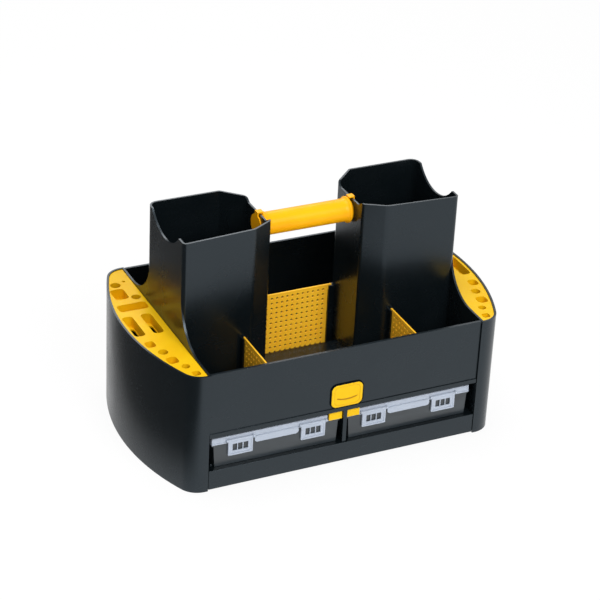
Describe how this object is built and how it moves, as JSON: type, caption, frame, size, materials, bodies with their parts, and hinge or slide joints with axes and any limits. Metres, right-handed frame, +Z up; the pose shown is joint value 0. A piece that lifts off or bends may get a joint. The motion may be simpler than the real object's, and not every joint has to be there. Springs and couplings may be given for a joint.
{
  "type": "tool storage caddy",
  "caption": "Open tool caddy with tall tool cups, a bar handle between them, tool inserts in its bowed ends, perforated dividers and slide-out parts boxes.",
  "frame": {"origin": "centre of the footprint, on the surface that the caddy stands on", "axes": "+X along the length, to the right seen from the front; +Y to the back, so the boxes slide out along -Y; +Z up"},
  "size_m": [0.47, 0.283, 0.292],
  "materials": {
    "black_body": "satin moulded, fine grain",
    "yellow_trim": "satin moulded",
    "yellow_grip": "smooth",
    "smoke_tray": "smoky translucent",
    "clear_lid": "frosted clear",
    "steel_screw": "plain"
  },
  "bodies": {
    "root": {"base_frame": "black_body", "cheek_screws": "steel_screw", "left_cheek": "black_body", "right_cheek": "black_body", "front_panel": "black_body", "back_panel": "black_body", "tray_floor": "black_body", "box_mullion": "black_body", "left_cup": "black_body", "right_cup": "black_body", "left_insert": "yellow_trim", "right_insert": "yellow_trim", "handle_grip": "yellow_grip", "left_handle_clip": "yellow_grip", "right_handle_clip": "yellow_grip"},
    "left_box": {"left_tray": "smoke_tray", "left_lid": "clear_lid", "left_lid_pins": "steel_screw"},
    "right_box": {"right_tray": "smoke_tray", "right_lid": "clear_lid", "right_lid_pins": "steel_screw"},
    "catch": {"catch_button": "yellow_trim", "catch_bar": "yellow_trim"},
    "mid_divider": {"mid_divider": "yellow_trim"},
    "left_divider": {"left_divider": "yellow_trim"},
    "right_divider": {"right_divider": "yellow_trim"},
    "left_outer_latch": {"left_outer_latch": "clear_lid"},
    "left_inner_latch": {"left_inner_latch": "clear_lid"},
    "right_outer_latch": {"right_outer_latch": "clear_lid"},
    "right_inner_latch": {"right_inner_latch": "clear_lid"}
  },
  "joints": [
    {"name": "left_box_slide", "type": "slide", "parent": "root", "child": "left_box", "axis": [0, -1, 0], "range_m": [0, 0.15]},
    {"name": "left_outer_latch_hinge", "type": "hinge", "parent": "left_box", "child": "left_outer_latch", "pos_m": [-0.1372, -0.1357, 0.0617], "axis": [-1, 0, 0], "range_deg": [0, 110]},
    {"name": "left_inner_latch_hinge", "type": "hinge", "parent": "left_box", "child": "left_inner_latch", "pos_m": [-0.0412, -0.1357, 0.0617], "axis": [-1, 0, 0], "range_deg": [0, 110]},
    {"name": "right_box_slide", "type": "slide", "parent": "root", "child": "right_box", "axis": [0, -1, 0], "range_m": [0, 0.15]},
    {"name": "right_outer_latch_hinge", "type": "hinge", "parent": "right_box", "child": "right_outer_latch", "pos_m": [0.1372, -0.1357, 0.0617], "axis": [-1, 0, 0], "range_deg": [0, 110]},
    {"name": "right_inner_latch_hinge", "type": "hinge", "parent": "right_box", "child": "right_inner_latch", "pos_m": [0.0412, -0.1357, 0.0617], "axis": [-1, 0, 0], "range_deg": [0, 110]},
    {"name": "catch_slide", "type": "slide", "parent": "root", "child": "catch", "axis": [0, 0, 1], "range_m": [0, 0.009]},
    {"name": "mid_divider_lift", "type": "slide", "parent": "root", "child": "mid_divider", "axis": [0, 0, 1], "range_m": [0, 0.1]},
    {"name": "left_divider_lift", "type": "slide", "parent": "root", "child": "left_divider", "axis": [0, 0, 1], "range_m": [0, 0.1]},
    {"name": "right_divider_lift", "type": "slide", "parent": "root", "child": "right_divider", "axis": [0, 0, 1], "range_m": [0, 0.1]}
  ]
}
